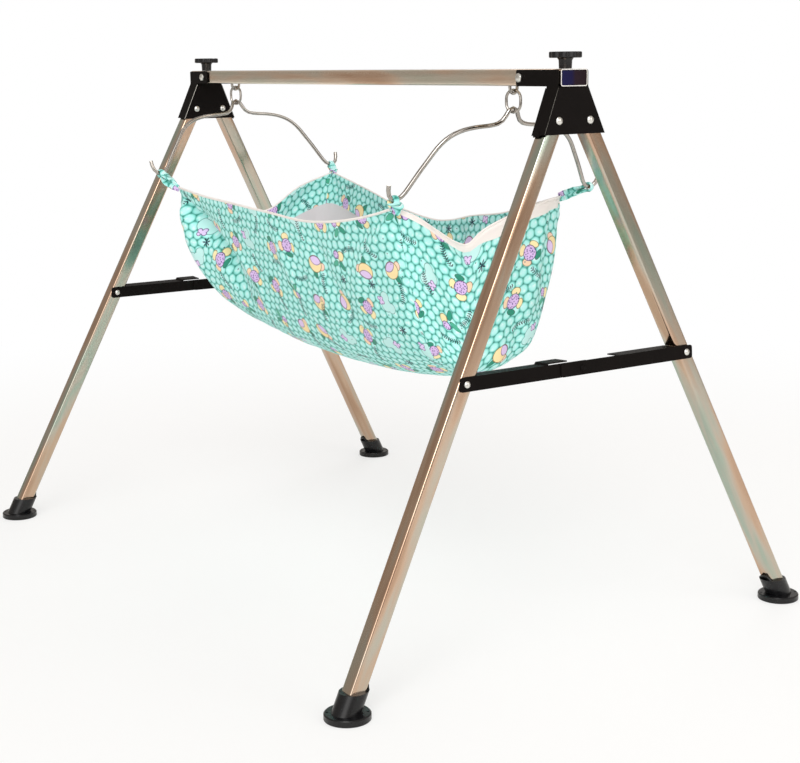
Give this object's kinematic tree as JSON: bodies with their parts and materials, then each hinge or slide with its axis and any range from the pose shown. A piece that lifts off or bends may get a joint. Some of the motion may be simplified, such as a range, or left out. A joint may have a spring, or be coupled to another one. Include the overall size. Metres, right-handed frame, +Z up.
{
  "type": "hanging baby cradle",
  "caption": "Cloth hammock cradle hung by wire hangers from a flat bar on two folding A-frames of square tube with bracing stays",
  "frame": {"origin": "on the floor under the middle of the top bar", "axes": "+X along the top bar to the end nearest the viewer, -Y the front side, +Z up"},
  "size_m": [1.3052, 0.923, 0.902],
  "materials": {
    "steel": "polished, warm grey reflections",
    "zinc": "bright zinc plated",
    "black_coat": "black powder coat, satin",
    "black_plastic": "moulded, fine grain",
    "print": "printed cotton, mint ground"
  },
  "bodies": {
    "stand": {"top_bar": "steel", "bar_plug_right": "black_plastic", "bracket_shell_right": "black_coat", "bracket_plate_right": "black_coat", "leg_pin_front_right": "zinc", "leg_pin_back_right": "zinc", "arm_bolt_front_right": "zinc", "arm_bolt_back_right": "zinc", "clamp_nut_right": "zinc", "bar_plug_left": "black_plastic", "bracket_shell_left": "black_coat", "bracket_plate_left": "black_coat", "leg_pin_back_left": "zinc", "leg_pin_front_left": "zinc", "arm_bolt_back_left": "zinc", "arm_bolt_front_left": "zinc", "clamp_nut_left": "zinc", "eye_right": "steel", "eye_left": "steel"},
    "knob_right": {"knob_right": "black_plastic", "knob_screw_right": "zinc"},
    "knob_left": {"knob_left": "black_plastic", "knob_screw_left": "zinc"},
    "leg_front_right": {"leg_front_right": "steel", "foot_front_right": "black_plastic", "brace_rivet_front_right": "zinc"},
    "brace_front_right": {"brace_front_right": "black_coat"},
    "leg_back_right": {"leg_back_right": "steel", "foot_back_right": "black_plastic", "brace_rivet_back_right": "zinc"},
    "brace_back_right": {"brace_back_right": "black_coat", "brace_middle_rivet_right": "zinc"},
    "leg_front_left": {"leg_front_left": "steel", "foot_front_left": "black_plastic", "brace_rivet_front_left": "zinc"},
    "brace_front_left": {"brace_front_left": "black_coat"},
    "leg_back_left": {"leg_back_left": "steel", "foot_back_left": "black_plastic", "brace_rivet_back_left": "zinc"},
    "brace_back_left": {"brace_back_left": "black_coat", "brace_middle_rivet_left": "zinc"},
    "link_right": {"link_right": "steel"},
    "link_left": {"link_left": "steel"},
    "cradle": {"hanger_right": "steel", "hanger_left": "steel", "hammock": "print", "strap_front_right": "print", "strap_back_right": "print", "strap_back_left": "print", "strap_front_left": "print"}
  },
  "joints": [
    {"name": "leg_front_right_fold", "type": "hinge", "parent": "stand", "child": "leg_front_right", "pos_m": [0.57, -0.0294, 0.803], "axis": [0.9981, 0, 0.061], "range_deg": [0, 24.7]},
    {"name": "leg_back_right_fold", "type": "hinge", "parent": "stand", "child": "leg_back_right", "pos_m": [0.57, 0.0294, 0.803], "axis": [0.9981, 0, 0.061], "range_deg": [-24.8, 0]},
    {"name": "brace_front_right_fold", "type": "hinge", "parent": "leg_front_right", "child": "brace_front_right", "pos_m": [0.5921, -0.21147, 0.44168], "axis": [0.9981, 0, 0.061], "range_deg": [-103, 0]},
    {"name": "brace_back_right_fold", "type": "hinge", "parent": "leg_back_right", "child": "brace_back_right", "pos_m": [0.5921, 0.21147, 0.44168], "axis": [0.9981, 0, 0.061], "range_deg": [0, 103]},
    {"name": "knob_right_turn", "type": "hinge", "parent": "stand", "child": "knob_right", "pos_m": [0.563, 0, 0.885], "axis": [0, 0, 1], "continuous": true},
    {"name": "leg_front_left_fold", "type": "hinge", "parent": "stand", "child": "leg_front_left", "pos_m": [-0.57, -0.0294, 0.803], "axis": [0.9981, 0, -0.061], "range_deg": [0, 24.7]},
    {"name": "leg_back_left_fold", "type": "hinge", "parent": "stand", "child": "leg_back_left", "pos_m": [-0.57, 0.0294, 0.803], "axis": [0.9981, 0, -0.061], "range_deg": [-24.8, 0]},
    {"name": "brace_front_left_fold", "type": "hinge", "parent": "leg_front_left", "child": "brace_front_left", "pos_m": [-0.5921, -0.21147, 0.44168], "axis": [0.9981, 0, -0.061], "range_deg": [-103, 0]},
    {"name": "brace_back_left_fold", "type": "hinge", "parent": "leg_back_left", "child": "brace_back_left", "pos_m": [-0.5921, 0.21147, 0.44168], "axis": [0.9981, 0, -0.061], "range_deg": [0, 103]},
    {"name": "knob_left_turn", "type": "hinge", "parent": "stand", "child": "knob_left", "pos_m": [-0.563, 0, 0.885], "axis": [0, 0, 1], "continuous": true},
    {"name": "link_right_swing", "type": "hinge", "parent": "stand", "child": "link_right", "pos_m": [0.442, 0, 0.851], "axis": [1, 0, 0], "range_deg": [-20, 20]},
    {"name": "link_left_swing", "type": "hinge", "parent": "stand", "child": "link_left", "pos_m": [-0.442, 0, 0.851], "axis": [1, 0, 0], "range_deg": [-20, 20]},
    {"name": "cradle_swing", "type": "hinge", "parent": "link_right", "child": "cradle", "pos_m": [0.442, 0, 0.8128], "axis": [1, 0, 0], "range_deg": [-12, 12]}
  ],
  "couplings": [
    {"joint": "leg_back_right_fold", "follows": "leg_front_right_fold", "ratio": -1},
    {"joint": "brace_front_right_fold", "follows": "leg_front_right_fold", "ratio": -4.16},
    {"joint": "brace_back_right_fold", "follows": "leg_front_right_fold", "ratio": 4.16},
    {"joint": "leg_back_left_fold", "follows": "leg_front_left_fold", "ratio": -1},
    {"joint": "brace_front_left_fold", "follows": "leg_front_left_fold", "ratio": -4.16},
    {"joint": "brace_back_left_fold", "follows": "leg_front_left_fold", "ratio": 4.16},
    {"joint": "link_left_swing", "follows": "link_right_swing", "ratio": 1}
  ]
}
